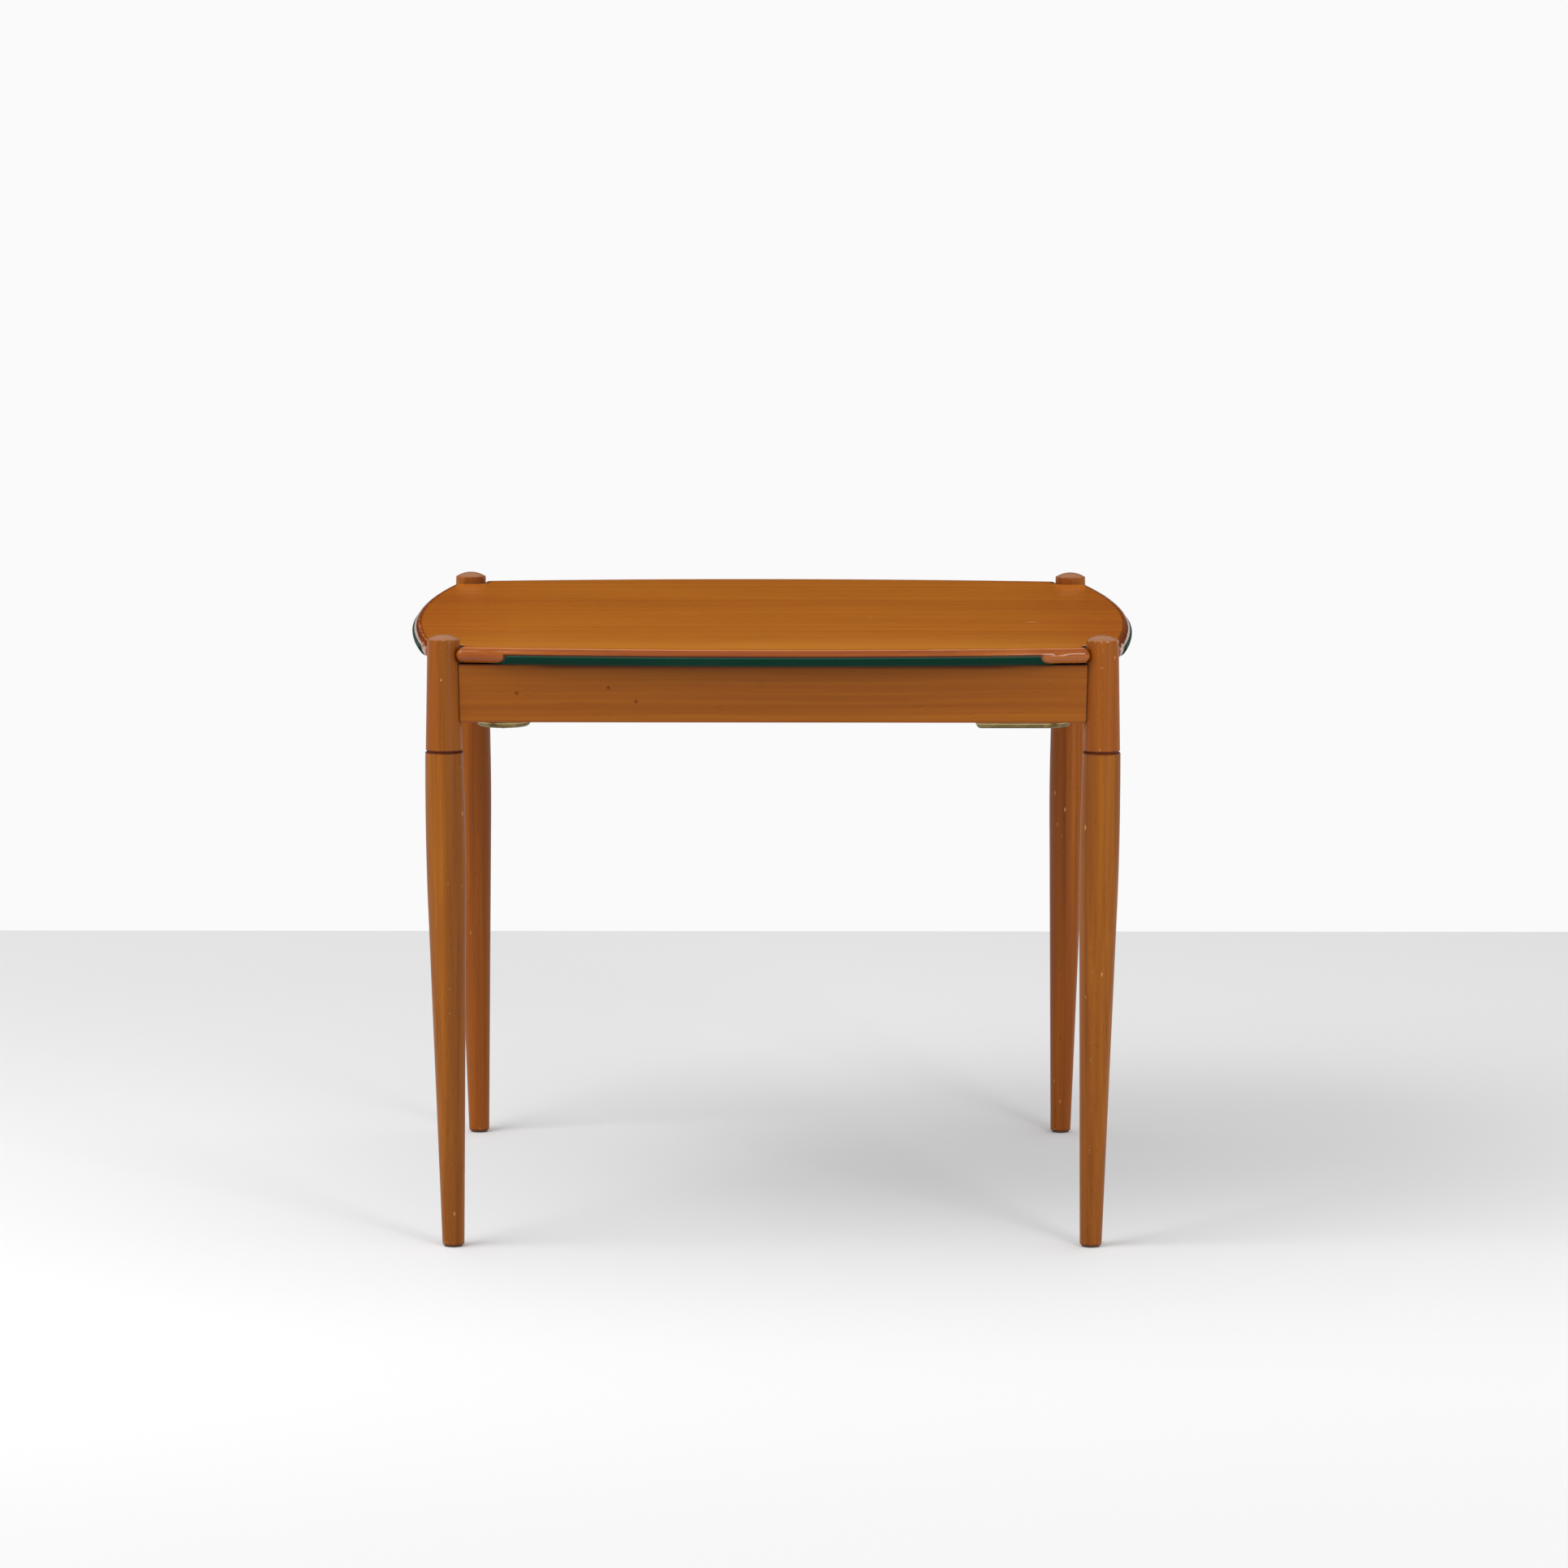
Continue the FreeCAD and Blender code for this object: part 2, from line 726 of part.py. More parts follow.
def bowed_body(name, inset, low, high):
    """A slab with four bowed sides and sharp corners, drawn in by an inset."""
    radius = side_radius - inset
    corner = (root(radius * radius * 2 - side_offset * side_offset) - side_offset) / 2
    body = new_body(name)
    sketch = new_sketch(body, "XY_Plane", f"{name}_outline", low)
    draw(sketch, [(-corner, -corner), (corner, -corner), (corner, corner), (-corner, corner)],
         {side: (radius, 1) for side in range(4)})
    return body, pad(body, sketch, high - low)


def board_outline(sketch):
    """The bowed sides, a round notch about each post, and a rounded tip beside it."""
    tip = named("tip_round")
    notch = named("post_top_radius") + named("notch_gap")
    # The tip's arc touches the side's arc and the notch, so its centre lies where
    # a circle about each of their centres meets.
    to_side, to_notch = side_radius - tip, notch + tip
    across, down = post_reach, -post_reach - side_offset
    apart = root(across * across + down * down)
    along = (to_side * to_side - to_notch * to_notch + apart * apart) / (apart * 2)
    beside = root(to_side * to_side - along * along)
    tip_x = (across * along + down * beside) / apart
    tip_y = side_offset + (down * along - across * beside) / apart
    on_side = (tip_x * side_radius / to_side,
               side_offset + (tip_y - side_offset) * side_radius / to_side)
    on_notch = (post_reach + (tip_x - post_reach) * notch / to_notch,
                (tip_y + post_reach) * notch / to_notch - post_reach)
    points, bends = [], {}
    for quarter in range(4):
        first = len(points)
        points += [turned(*on_side, quarter), turned(*on_notch, quarter),
                   turned(-on_notch[1], -on_notch[0], quarter),
                   turned(-on_side[1], -on_side[0], quarter)]
        bends.update({first: (tip, 1), first + 1: (notch, -1),
                      first + 2: (tip, 1), first + 3: (side_radius, 1)})
    draw(sketch, points, bends)


board_blank = new_body("board_blank")
board_sketch = new_sketch(board_blank, "XY_Plane", "board_outline", board_under)
board_outline(board_sketch)
slab = pad(board_blank, board_sketch, board_top - board_under)
round_edges(board_blank, slab, edge_round,
            lambda edge: lies_at(edge, board_under) or lies_at(edge, board_top))

# The cloth wraps the lower round and stands a little proud of the wood above it.
cloth_top = board_under + edge_round + named("cloth_past_round")
cloth_bottom = board_under - named("cloth_thickness")
cloth_outer, cloth_slab = bowed_body("cloth_outer", -named("cloth_proud"),
                                     cloth_bottom, cloth_top)
round_edges(cloth_outer, cloth_slab, edge_round + named("cloth_thickness"),
            lambda edge: lies_at(edge, cloth_bottom))
cloth_inner, seat_slab = bowed_body("cloth_inner", named("cloth_rebate"),
                                    board_under, cloth_top)
round_edges(cloth_inner, seat_slab, edge_round,
            lambda edge: lies_at(edge, board_under))

field_side = cloth_reach * 2
cloth_field = box("cloth_field", -field_side / 2, field_side / 2, -field_side / 2,
                  field_side / 2, cloth_bottom - overrun, cloth_top)
diagonal = FreeCAD.Rotation(FreeCAD.Vector(0, 0, 1), 45)
cloth_field_turned = group("cloth_field_turned", [cloth_field])
cloth_field_turned.Placement = FreeCAD.Placement(FreeCAD.Vector(), diagonal)
cloth_blank = join("Common", "cloth_blank", cloth_outer, cloth_field_turned)
keep(cut("playing_cloth", cloth_blank, cloth_inner))

rebate = cut("rebate", cloth_field_turned, cloth_inner)
rebated_board = cut("rebated_board", board_blank, rebate)
veneer_bottom = board_top - named("veneer_thickness")
wide = side_reach * 2
veneer_room = box("veneer_room", -wide, wide, -wide, wide, veneer_bottom, board_top + overrun)
keep(join("Common", "top_veneer", rebated_board, veneer_room))
bare_board = cut("bare_board", rebated_board, veneer_room)
core_room, _ = bowed_body("core_room", named("lipping_width"), board_under - overrun,
                          board_top + overrun)
keep(join("Common", "top_core", bare_board, core_room))
lipping_ring = cut("lipping_ring", bare_board, core_room)
quadrant = box("quadrant", 0, wide, 0, wide, board_under - overrun, board_top + overrun)
for quarter, side in enumerate(SIDES):
    wedge = group(f"wedge_{side}", [quadrant])
    wedge.Placement = FreeCAD.Placement(FreeCAD.Vector(), FreeCAD.Rotation(
        FreeCAD.Vector(0, 0, 1), 90 * quarter - 135))
    keep(join("Common", f"lipping_{side}", lipping_ring, wedge))


# Check and write

doc.recompute()
for item in doc.Objects:
    if "Invalid" in item.State or "Error" in item.State:
        raise RuntimeError(f"{item.Label} did not build: {item.State}")
os.makedirs("parts", exist_ok=True)
for name, item in nodes.items():
    shape = item.Shape
    if shape.isNull() or not shape.isValid() or not shape.Solids:
        raise RuntimeError(f"{name} has no valid solid")
    shape.exportStep(f"parts/{name}.step")
    print(name, len(shape.Solids), round(shape.Volume), [round(v, 1) for v in (
        shape.BoundBox.XMin, shape.BoundBox.YMin, shape.BoundBox.ZMin,
        shape.BoundBox.XMax, shape.BoundBox.YMax, shape.BoundBox.ZMax)])
print(len(nodes), "nodes")
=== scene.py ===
import math

import bmesh
import bpy
from mathutils import Matrix, Vector


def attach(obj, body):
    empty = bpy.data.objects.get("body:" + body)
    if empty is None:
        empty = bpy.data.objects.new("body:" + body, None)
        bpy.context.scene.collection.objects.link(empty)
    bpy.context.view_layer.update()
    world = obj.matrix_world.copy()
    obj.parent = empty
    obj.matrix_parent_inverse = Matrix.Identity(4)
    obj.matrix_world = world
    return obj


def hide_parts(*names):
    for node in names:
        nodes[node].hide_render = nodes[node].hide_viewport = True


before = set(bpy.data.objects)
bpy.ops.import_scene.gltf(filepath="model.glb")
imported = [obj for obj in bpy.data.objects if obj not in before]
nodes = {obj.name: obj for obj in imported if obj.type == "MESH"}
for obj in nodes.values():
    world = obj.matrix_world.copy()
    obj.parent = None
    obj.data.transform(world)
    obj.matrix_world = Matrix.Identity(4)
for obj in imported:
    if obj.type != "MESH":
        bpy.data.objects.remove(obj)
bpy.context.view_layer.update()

CORNERS = ["front_right", "back_right", "back_left", "front_left"]
SIDES = ["front", "right", "back", "left"]
MM = 0.001

# Reaches from the middle of the table, in metres
POST_REACH = 0.381  # to a post's axis
SIDE_REACH = 0.4314  # to the board's edge, where it bows out most
SIDE_BOW = 0.0314
# each side is one arc, about a point beyond the opposite side
SIDE_RADIUS = (POST_REACH ** 2 + SIDE_BOW ** 2) / (2 * SIDE_BOW)
SIDE_OFFSET = SIDE_RADIUS - SIDE_REACH
CUT_REACH = 0.508815 * math.sqrt(2)  # |x| + |y| along the cloth's cut across a corner
RAIL_FACE = POST_REACH + 10 * MM
LIPPING_REACH = 0.42
TOE_IN = 8 * MM  # how far a foot stands inside its post

# Heights above the floor, in metres
KNOB_RIM = 0.715  # where a post's domed end begins
BOARD_TOP = 0.707
SEAM = 0.699  # where the cloth ends on the board's edge
BOARD_UNDER = 0.6895
RAIL_TOP = 0.687
RAIL_BOTTOM = 0.619
TRAY_RIM = 0.616  # the underside of a tray's rolled rim
GLINT_LINE = 0.6122  # where a painted glint line runs round a tray's wall
JOINT = 0.5854  # between a post and its leg
FOOT = 0.002  # where a leg's wood ends, above its glide

# Radii, in metres
POST_RADIUS = 20.5 * MM  # midway down a post
LEG_RADIUS = 22 * MM  # near a leg's belly
NOTCH_RADIUS = 20 * MM  # of the board's notch about a post


# Colours and shader arithmetic

def paint(red, green, blue):
    """A colour read as it looks on a screen, 0 to 255, turned to linear light."""
    levels = []
    for level in (red, green, blue):
        level /= 255
        levels.append(level / 12.92 if level <= 0.04045 else ((level + 0.055) / 1.055) ** 2.4)
    return (*levels, 1.0)


class Mask:
    """A value that changes over a surface. Arithmetic on a number adds Math nodes."""

    def __init__(self, finish, socket):
        self.finish = finish
        self.socket = socket

    def maths(self, operation, *values):
        return self.finish.node("ShaderNodeMath", {"operation": operation},
                                dict(enumerate(values)))

    def __add__(self, other):
        return self.maths("ADD", self, other)

    def __sub__(self, other):
        return self.maths("SUBTRACT", self, other)

    def __rsub__(self, other):
        return self.maths("SUBTRACT", other, self)

    def __mul__(self, other):
        return self.maths("MULTIPLY", self, other)

    def __truediv__(self, other):
        return self.maths("DIVIDE", self, other)

    def __pow__(self, other):
        return self.maths("POWER", self, other)

    __radd__ = __add__
    __rmul__ = __mul__

    def size(self):
        return self.maths("ABSOLUTE", self)

    def below(self, other):
        return self.maths("MINIMUM", self, other)

    def above(self, other):
        return self.maths("MAXIMUM", self, other)

    def rise(self, start, end):
        """0 below start, 1 above end, and smooth between."""
        return self.finish.node("ShaderNodeMapRange",
                                {"interpolation_type": "SMOOTHSTEP", "clamp": True},
                                {"Value": self, "From Min": start, "From Max": end})

    def fall(self, start, end):
        return 1 - self.rise(start, end)


class Finish:
    """One material: a Principled shader, and the nodes that vary it."""

    def __init__(self, name, **constants):
        self.material = bpy.data.materials.new(name)
        self.material.use_nodes = True
        self.tree = self.material.node_tree
        self.shader = self.tree.nodes["Principled BSDF"]
        for socket, value in constants.items():
            self.shader.inputs[socket.replace("_", " ")].default_value = value
        self.where = self.node("ShaderNodeTexCoord", output="Object")
        self.x, self.y, self.z = self.parts(self.where)

    def node(self, kind, settings=None, sockets=None, output=0):
        """Adds a node, with its settings first and then its sockets' values or links."""
        made = self.tree.nodes.new(kind)
        for setting, value in (settings or {}).items():
            if setting == "stops":
                ramp = made.color_ramp
                while len(ramp.elements) < len(value):
                    ramp.elements.new(0.5)
                for element, (place, colour) in zip(ramp.elements, value):
                    element.position = place
                    element.color = colour
            else:
                setattr(made, setting, value)
        for socket, value in (sockets or {}).items():
            if isinstance(value, Mask):
                self.tree.links.new(value.socket, made.inputs[socket])
            else:
                made.inputs[socket].default_value = value
        return Mask(self, made.outputs[output])

    def parts(self, vector):
        split = self.tree.nodes.new("ShaderNodeSeparateXYZ")
        self.tree.links.new(vector.socket, split.inputs[0])
        return [Mask(self, output) for output in split.outputs]

    def vector(self, x, y, z):
        return self.node("ShaderNodeCombineXYZ", {}, {"X": x, "Y": y, "Z": z})

    def squeezed(self, x, y, z):
        """The place on the object, with a scale for each axis."""
        return self.vector(self.x * x, self.y * y, self.z * z)

    def noise(self, vector, scale, detail=2, rough=0.5, bend=0):
        """Cloudy noise from 0 to 1, at so many cells to the metre."""
        return self.node("ShaderNodeTexNoise", {}, {
            "Vector": vector, "Scale": scale, "Detail": detail,
            "Roughness": rough, "Distortion": bend}, "Fac")

    def bands(self, distance, scale, detail=2, rough=0.5):
        """Noise along one distance only, as the rings of a tree vary."""
        return self.node("ShaderNodeTexNoise", {"noise_dimensions": "1D"}, {
            "W": distance, "Scale": scale, "Detail": detail, "Roughness": rough}, "Fac")

    def cells(self, vector, scale):
        """Distance to the nearest of many scattered points."""
        return self.node("ShaderNodeTexVoronoi", {}, {
            "Vector": vector, "Scale": scale, "Randomness": 1.0}, "Distance")

    def mix(self, first, second, share):
        """One colour over another, where the share is 1."""
        return self.node("ShaderNodeMix", {"data_type": "RGBA"},
                         {0: share, 6: first, 7: second}, 2)

    def tint(self, colour, other, share):
        """Multiplies a colour by another."""
        return self.node("ShaderNodeMix", {"data_type": "RGBA", "blend_type": "MULTIPLY"},
                         {0: share, 6: colour, 7: (*other, 1)}, 2)

    def set(self, socket, value):
        self.tree.links.new(value.socket, self.shader.inputs[socket])

    def relief(self, height, depth, strength):
        """Small height in the surface, as a share of a depth in metres."""
        bump = self.node("ShaderNodeBump", {}, {"Height": height, "Distance": depth,
                                                "Strength": strength})
        self.set("Normal", bump)


def turned(x, y, quarter):
    """A point of the front side or the front right corner, so many quarters round."""
    return [(x, y), (-y, x), (-x, -y), (y, -x)][quarter % 4]


# Wood

def timber_figure(finish, along, pith, spread):
    """Grain of a piece sawn from a straight tree.

    along is the axis that the grain follows, pith the tree's middle across it, and
    spread stretches the figure.  Returns the masks of broad tone, ring lines,
    fibres, pores and the long streaks.
    """
    a, b, run = {"X": (finish.y, finish.z, finish.x), "Y": (finish.x, finish.z, finish.y),
                 "Z": (finish.x, finish.y, finish.z)}[along]
    drift = finish.noise(finish.vector(a * 3, b * 3, run * 1.1), 1.0)
    sway = finish.noise(finish.vector(a * 3, b * 3, run * 1.1 + 7), 1.0)
    bent = 22 * MM * spread
    a_bent = a - pith[0] + (drift - 0.5) * bent
    b_bent = b - pith[1] + (sway - 0.5) * bent
    ring = (a_bent * a_bent + b_bent * b_bent) ** 0.5
    tone = finish.bands(ring, 46, 3, 0.62)
    wander = finish.noise(finish.vector(a * 90, b * 90, run * 5), 1.0) * (1.2 * MM)
    lines = finish.bands(ring + wander, 420, 2, 0.6)
    fibres = finish.noise(finish.vector(a * 1100, b * 1100, run * 16), 1.0, 3, 0.6)
    streaks = finish.noise(finish.vector(a * 150, b * 150, run * 3.2), 1.0, 3, 0.55, 0.2)
    pores = finish.noise(finish.vector(a * 800, b * 800, run * 55), 1.0, 1)
    return tone, lines, fibres, streaks, pores


def wood(name, along, pith, deep, middle, pale, spread, contrast, **constants):
    """Wood in three colours; returns the finish, its colour and its small height."""
    finish = Finish(name, **constants)
    tone, lines, fibres, streaks, pores = timber_figure(finish, along, pith, spread)
    share = (tone - 0.5) * 1.5 * contrast + (streaks - 0.5) * 1.1 * contrast + 0.5
    colour = finish.node("ShaderNodeValToRGB", {"stops": [
        (0.12, deep), (0.5, middle), (0.88, pale)]}, {0: share})
    for darker, where in (((0.62, 0.52, 0.42), lines.rise(0.56, 0.8) * 0.42),
                          ((0.72, 0.66, 0.6), fibres.rise(0.46, 0.72) * 0.4),
                          ((0.4, 0.3, 0.22), pores.rise(0.66, 0.76) * 0.5)):
        colour = finish.tint(colour, darker, where * contrast)
    height = fibres * 0.5 + pores.fall(0.6, 0.75) * 0.5
    return finish, colour, height


def dings(finish, colour, amount, scale, squeeze):
    """Small pale knocks where the finish has come off."""
    place = finish.squeezed(*squeeze)
    dots = finish.cells(place, scale)
    ragged = finish.noise(place, scale * 5) * 0.16
    chance = finish.noise(place, scale * 0.37, 1).rise(0.56, 0.62)
    mark = (dots + ragged).fall(0.12, 0.19) * chance * amount
    return finish.mix(colour, paint(232, 186, 126), mark), mark


def knocks(finish):
    """The ragged pattern in which lacquer chips off a turned piece."""
    return finish.noise(finish.squeezed(380, 380, 260), 1.0, 3, 0.6)


def off_post(finish):
    """Distance from the axis of the nearest post."""
    across, back = finish.x.size() - POST_REACH, finish.y.size() - POST_REACH
    return (across * across + back * back) ** 0.5


def spot(finish, place, radius, stretch=(1, 1, 1)):
    """A small mark at one place, which fades at its rim."""
    off = 0
    for here, there, share in zip((finish.x, finish.y, finish.z), place, stretch):
        off = ((here - there) / share) ** 2 + off
    return (off ** 0.5).fall(radius * 0.5, radius)


def painted_shade_and_glints(finish, colour, x, radius, grey_shade, brown_shade, glints_and_rubbing):
    """Painted shade on a turned piece: greyer right of its middle, as shade with a grey
    reflection, and darker and browner left of it, as shade; between them pale specks, painted
    glints among worn spots.

    x is the piece's axis.  The last three arguments say how strong each is.
    """
    across = (finish.x - x) / radius
    # painted shade with a grey reflection right of the middle, and painted shade left of it
    if grey_shade:
        colour = finish.tint(colour, (0.76, 0.76, 0.92),
                             across.rise(-0.42, -0.16) * across.fall(0.6, 1.3) * grey_shade)
    if brown_shade:
        colour = finish.tint(colour, (0.82, 0.76, 0.74), across.fall(-0.4, 0.3) * brown_shade)
    # pale specks down the middle: painted glints among worn spots
    specks = finish.noise(finish.squeezed(420, 420, 150), 1.0, 2, 0.6)
    glint_and_wear_specks = (across + 0.1).size().fall(0.04, 0.14) * specks.rise(0.66, 0.72)
    return finish.mix(colour, paint(210, 160, 108), glint_and_wear_specks * glints_and_rubbing)


# the tint of the painted shade in the groove between a post and its leg
GROOVE_SHADE = (0.46, 0.3, 0.22)
KNOB_ARRIS = (16.5 * MM, 17.8 * MM)  # radii between which the knob's arris is worn
NOTCH_SPAN = 26.9 * MM  # a post's radius at the notch, as x and y added together


def post_wood(corner, quarter):
    x, y = turned(POST_REACH, -POST_REACH, quarter)
    pith = (x + (0.09 if quarter % 2 else -0.09), y - 0.075)
    finish, colour, height = wood(
        f"lacquered_post_{corner}", "Z", pith,
        paint(126, 61, 8), paint(149, 80, 10), paint(170, 98, 16),
        spread=1.0, contrast=0.7, Specular_IOR_Level=0.2)
    left = corner.endswith("left")
    # painted shade and glints down the post's sides
    colour = painted_shade_and_glints(finish, colour, x, POST_RADIUS,
                            grey_shade=1.0 if left else 0, brown_shade=0 if left else 0.8, glints_and_rubbing=0.6)
    # end grain on the domed knob
    out = off_post(finish)
    rings = finish.bands(out + finish.noise(finish.where, 60) * (4 * MM), 700, 2, 0.6)
    colour = finish.mix(colour, finish.mix(paint(138, 86, 56), paint(174, 120, 86), rings),
                        finish.z.rise(KNOB_RIM - 0.4 * MM, KNOB_RIM + 0.6 * MM))
    # lacquer chipped off the knob's arris and the post's lower end
    arris = (1 - ((finish.z - KNOB_RIM).size() / (3.5 * MM)).below(1)) * out.rise(*KNOB_ARRIS)
    end = finish.z.fall(JOINT + 2 * MM, JOINT + 7 * MM)
    ragged = knocks(finish)
    chips = (arris * ragged.rise(0.6, 0.66) + end * ragged.rise(0.68, 0.72) * 0.8).below(1)
    colour, marks = dings(finish, colour, amount=0.5, scale=84, squeeze=(1, 1, 0.4))
    colour = finish.mix(colour, paint(226, 178, 120), chips * 0.8)
    # painted shade by the groove at the post's lower end
    colour = finish.tint(colour, GROOVE_SHADE,
                         finish.z.fall(JOINT + 0.8 * MM, JOINT + 2.2 * MM))
    # a dark tone between the board's tips, painted on for the shade inside the notch
    inward = ((x - finish.x) * math.copysign(1, x)
              + (y - finish.y) * math.copysign(1, y)) / NOTCH_SPAN
    notch = (inward.rise(-0.06, 0.2)
             * finish.z.rise(BOARD_UNDER - 2 * MM, BOARD_UNDER + 3 * MM)
             * finish.z.fall(BOARD_TOP - 4.5 * MM, BOARD_TOP - 0.2 * MM))
    colour = finish.tint(colour, (0.42, 0.28, 0.2), notch)
    finish.set("Base Color", colour)
    wear = finish.noise(finish.where, 26, 3)
    finish.set("Roughness", 0.32 + wear * 0.14 + chips * 0.3 + marks * 0.2)
    finish.relief(height - chips * 1.4, 0.06 * MM, 0.5)
    return finish.material


def leg_wood(corner, quarter):
    x, y = turned(POST_REACH - TOE_IN, TOE_IN - POST_REACH, quarter)
    pith = (x - (0.11 if quarter % 2 else -0.11), y - 0.06)
    finish, colour, height = wood(
        f"lacquered_leg_{corner}", "Z", pith,
        paint(120, 63, 8), paint(141, 78, 9), paint(163, 97, 15),
        spread=1.0, contrast=0.8, Specular_IOR_Level=0.2)
    # painted shade and glints down the leg's sides
    colour = painted_shade_and_glints(finish, colour, x, LEG_RADIUS,
                            grey_shade=0.5 if corner == "front_left" else 0, brown_shade=0, glints_and_rubbing=0.2)
    if corner.startswith("back"):
        # a little redder, as they are in the photograph
        colour = finish.tint(colour, (1.1, 0.96, 0.92), 1.0)
    # painted shade in the groove at the joint, and chips on the shoulder below it and at the
    # foot
    groove_shade = (finish.z - (JOINT - 0.6 * MM)).size().fall(1.6 * MM, 3 * MM)
    colour = finish.tint(colour, GROOVE_SHADE, groove_shade)
    shoulder = finish.z.rise(JOINT - 8 * MM, JOINT - 3.5 * MM) * (1 - groove_shade)
    foot = finish.z.fall(FOOT + 1 * MM, FOOT + 7 * MM)
    ragged = knocks(finish)
    chips = (shoulder * ragged.rise(0.68, 0.73) + foot * ragged.rise(0.6, 0.68)).below(1)
    colour, marks = dings(finish, colour, amount=0.5, scale=80, squeeze=(1, 1, 0.35))
    colour = finish.mix(colour, paint(218, 168, 108), chips * 0.75)
    colour = finish.tint(colour, (0.35, 0.25, 0.18), finish.z.fall(FOOT, FOOT + 4 * MM) * 0.7)
    finish.set("Base Color", colour)
    wear = finish.noise(finish.where, 22, 3)
    finish.set("Roughness", 0.32 + wear * 0.16 + chips * 0.3 + marks * 0.2)
    finish.relief(height - chips * 1.4, 0.06 * MM, 0.5)
    return finish.material


POST_ARRIS = 0.7137  # height at which a post's taper begins
TAPER_RADIUS = 18.9 * MM  # a post's radius there, with the joint's gap
TAPER = 0.0189  # what it gains for each metre down


def rail_wood(side, quarter):
    along = "Y" if quarter % 2 else "X"
    x, y = turned(0, -POST_REACH, quarter)
    pith = ((y if along == "X" else x) - 0.05, 0.46)
    finish, colour, height = wood(
        f"lacquered_rail_{side}", along, pith,
        paint(130, 66, 8), paint(143, 77, 9), paint(156, 89, 14),
        spread=1.6, contrast=0.6, Specular_IOR_Level=0.2)
    run = finish.x if along == "X" else finish.y
    # small pin knots, dark with a redder ring
    place = finish.vector(run * 0.75, finish.y * 0.2, finish.z)
    spots = finish.cells(place, 24)
    chance = finish.noise(place, 11, 1).rise(0.55, 0.6)
    colour = finish.tint(colour, (0.8, 0.66, 0.54), spots.fall(0.05, 0.14) * chance * 0.6)
    colour = finish.tint(colour, (0.5, 0.36, 0.28), spots.fall(0.035, 0.075) * chance * 0.6)
    if side == "front":
        for knot_x, knot_z in ((-0.2965, 0.6530), (-0.1905, 0.6595), (-0.1585, 0.6435)):
            knot = (knot_x, -RAIL_FACE, knot_z)
            colour = finish.tint(colour, (0.76, 0.6, 0.48), spot(finish, knot, 3.4 * MM) * 0.8)
            colour = finish.tint(colour, (0.5, 0.34, 0.26), spot(finish, knot, 1.5 * MM))
    # the dark line of the joint against each post: painted shade in its gap
    post_radius = TAPER_RADIUS + (POST_ARRIS - finish.z) * TAPER
    joint = (off_post(finish) - post_radius).fall(0.5 * MM, 1.5 * MM)
    colour = finish.tint(colour, (0.12, 0.07, 0.05), joint)
    # a dark top edge, broader away from the posts, painted on for the board's shade
    colour = finish.tint(colour, (0.6, 0.46, 0.38),
                         finish.z.rise(RAIL_TOP - 8 * MM, RAIL_TOP - 0.2 * MM) * 0.4)
    shade = (finish.z.rise(RAIL_TOP - 7.5 * MM, RAIL_TOP - 1 * MM)
             * run.size().fall(0.25, 0.3))
    shade = shade.above(finish.z.rise(RAIL_TOP - 2.5 * MM, RAIL_TOP - 0.7 * MM))
    colour = finish.tint(colour, (0.2, 0.14, 0.1), shade * 0.9)
    # painted shade along the rounded lower edge, which faces down
    colour = finish.tint(colour, (0.74, 0.56, 0.56),
                         finish.z.fall(RAIL_BOTTOM + 0.2 * MM, RAIL_BOTTOM + 3.2 * MM) * 0.8)
    finish.set("Base Color", colour)
    wear = finish.noise(finish.where, 18, 3)
    finish.set("Roughness", 0.3 + wear * 0.14)
    finish.relief(height, 0.06 * MM, 0.5)
    return finish.material


def top_wood():
    """The polished face veneer: long straight streaks from left to right."""
    finish, colour, height = wood(
        "polished_top", "X", (2.4, 0.1),
        paint(193, 104, 18), paint(207, 119, 24), paint(219, 134, 31),
        spread=1.5, contrast=0.5, Specular_IOR_Level=0.22)
    broad = finish.noise(finish.squeezed(0.9, 11, 1), 1.0, 3, 0.55)
    colour = finish.tint(colour, (0.84, 0.72, 0.56), broad.rise(0.48, 0.68) * 0.55)
    # darker towards the left and right, paler towards the front
    x_size, y_size = finish.x.size(), finish.y.size()
    colour = finish.tint(colour, (0.9, 0.76, 0.6), x_size.rise(0.28, 0.42) * 0.8)
    colour = finish.mix(colour, paint(236, 156, 52), finish.y.fall(-0.4, -0.2) * 0.38)
    # a darker line along the arris, a painted dark reflection: broad and faint
    # at the front and back, narrow and strong at the left and right
    far, near = x_size.above(y_size), x_size.below(y_size)
    inset = SIDE_RADIUS - (near * near + (far + SIDE_OFFSET) ** 2) ** 0.5
    sideways = (x_size - y_size).rise(0, 0.03)
    colour = finish.tint(colour, (0.74, 0.58, 0.42),
                         inset.fall(12 * MM, 20 * MM) * (1 - sideways) * 0.85)
    colour = finish.tint(colour, (0.5, 0.36, 0.3),
                         inset.fall(8.6 * MM, 10.4 * MM) * sideways * 0.85)
    colour, marks = dings(finish, colour, amount=0.45, scale=21, squeeze=(0.45, 1, 1))
    # short pale scratches
    for x, y, length in ((0.363, 0.225, 7), (-0.305, -0.213, 5), (0.118, -0.062, 4)):
        scratch = spot(finish, (x, y, BOARD_TOP), 1 * MM, (length, 2.2, 3))
        colour = finish.mix(colour, paint(226, 170, 110), scratch * 0.7)
    finish.set("Base Color", colour)
    smears = finish.noise(finish.squeezed(4, 9, 1), 1.0, 4, 0.6)
    finish.set("Roughness", 0.15 + smears * 0.1 + marks * 0.3)
    finish.relief(height, 0.04 * MM, 0.35)
    return finish.material


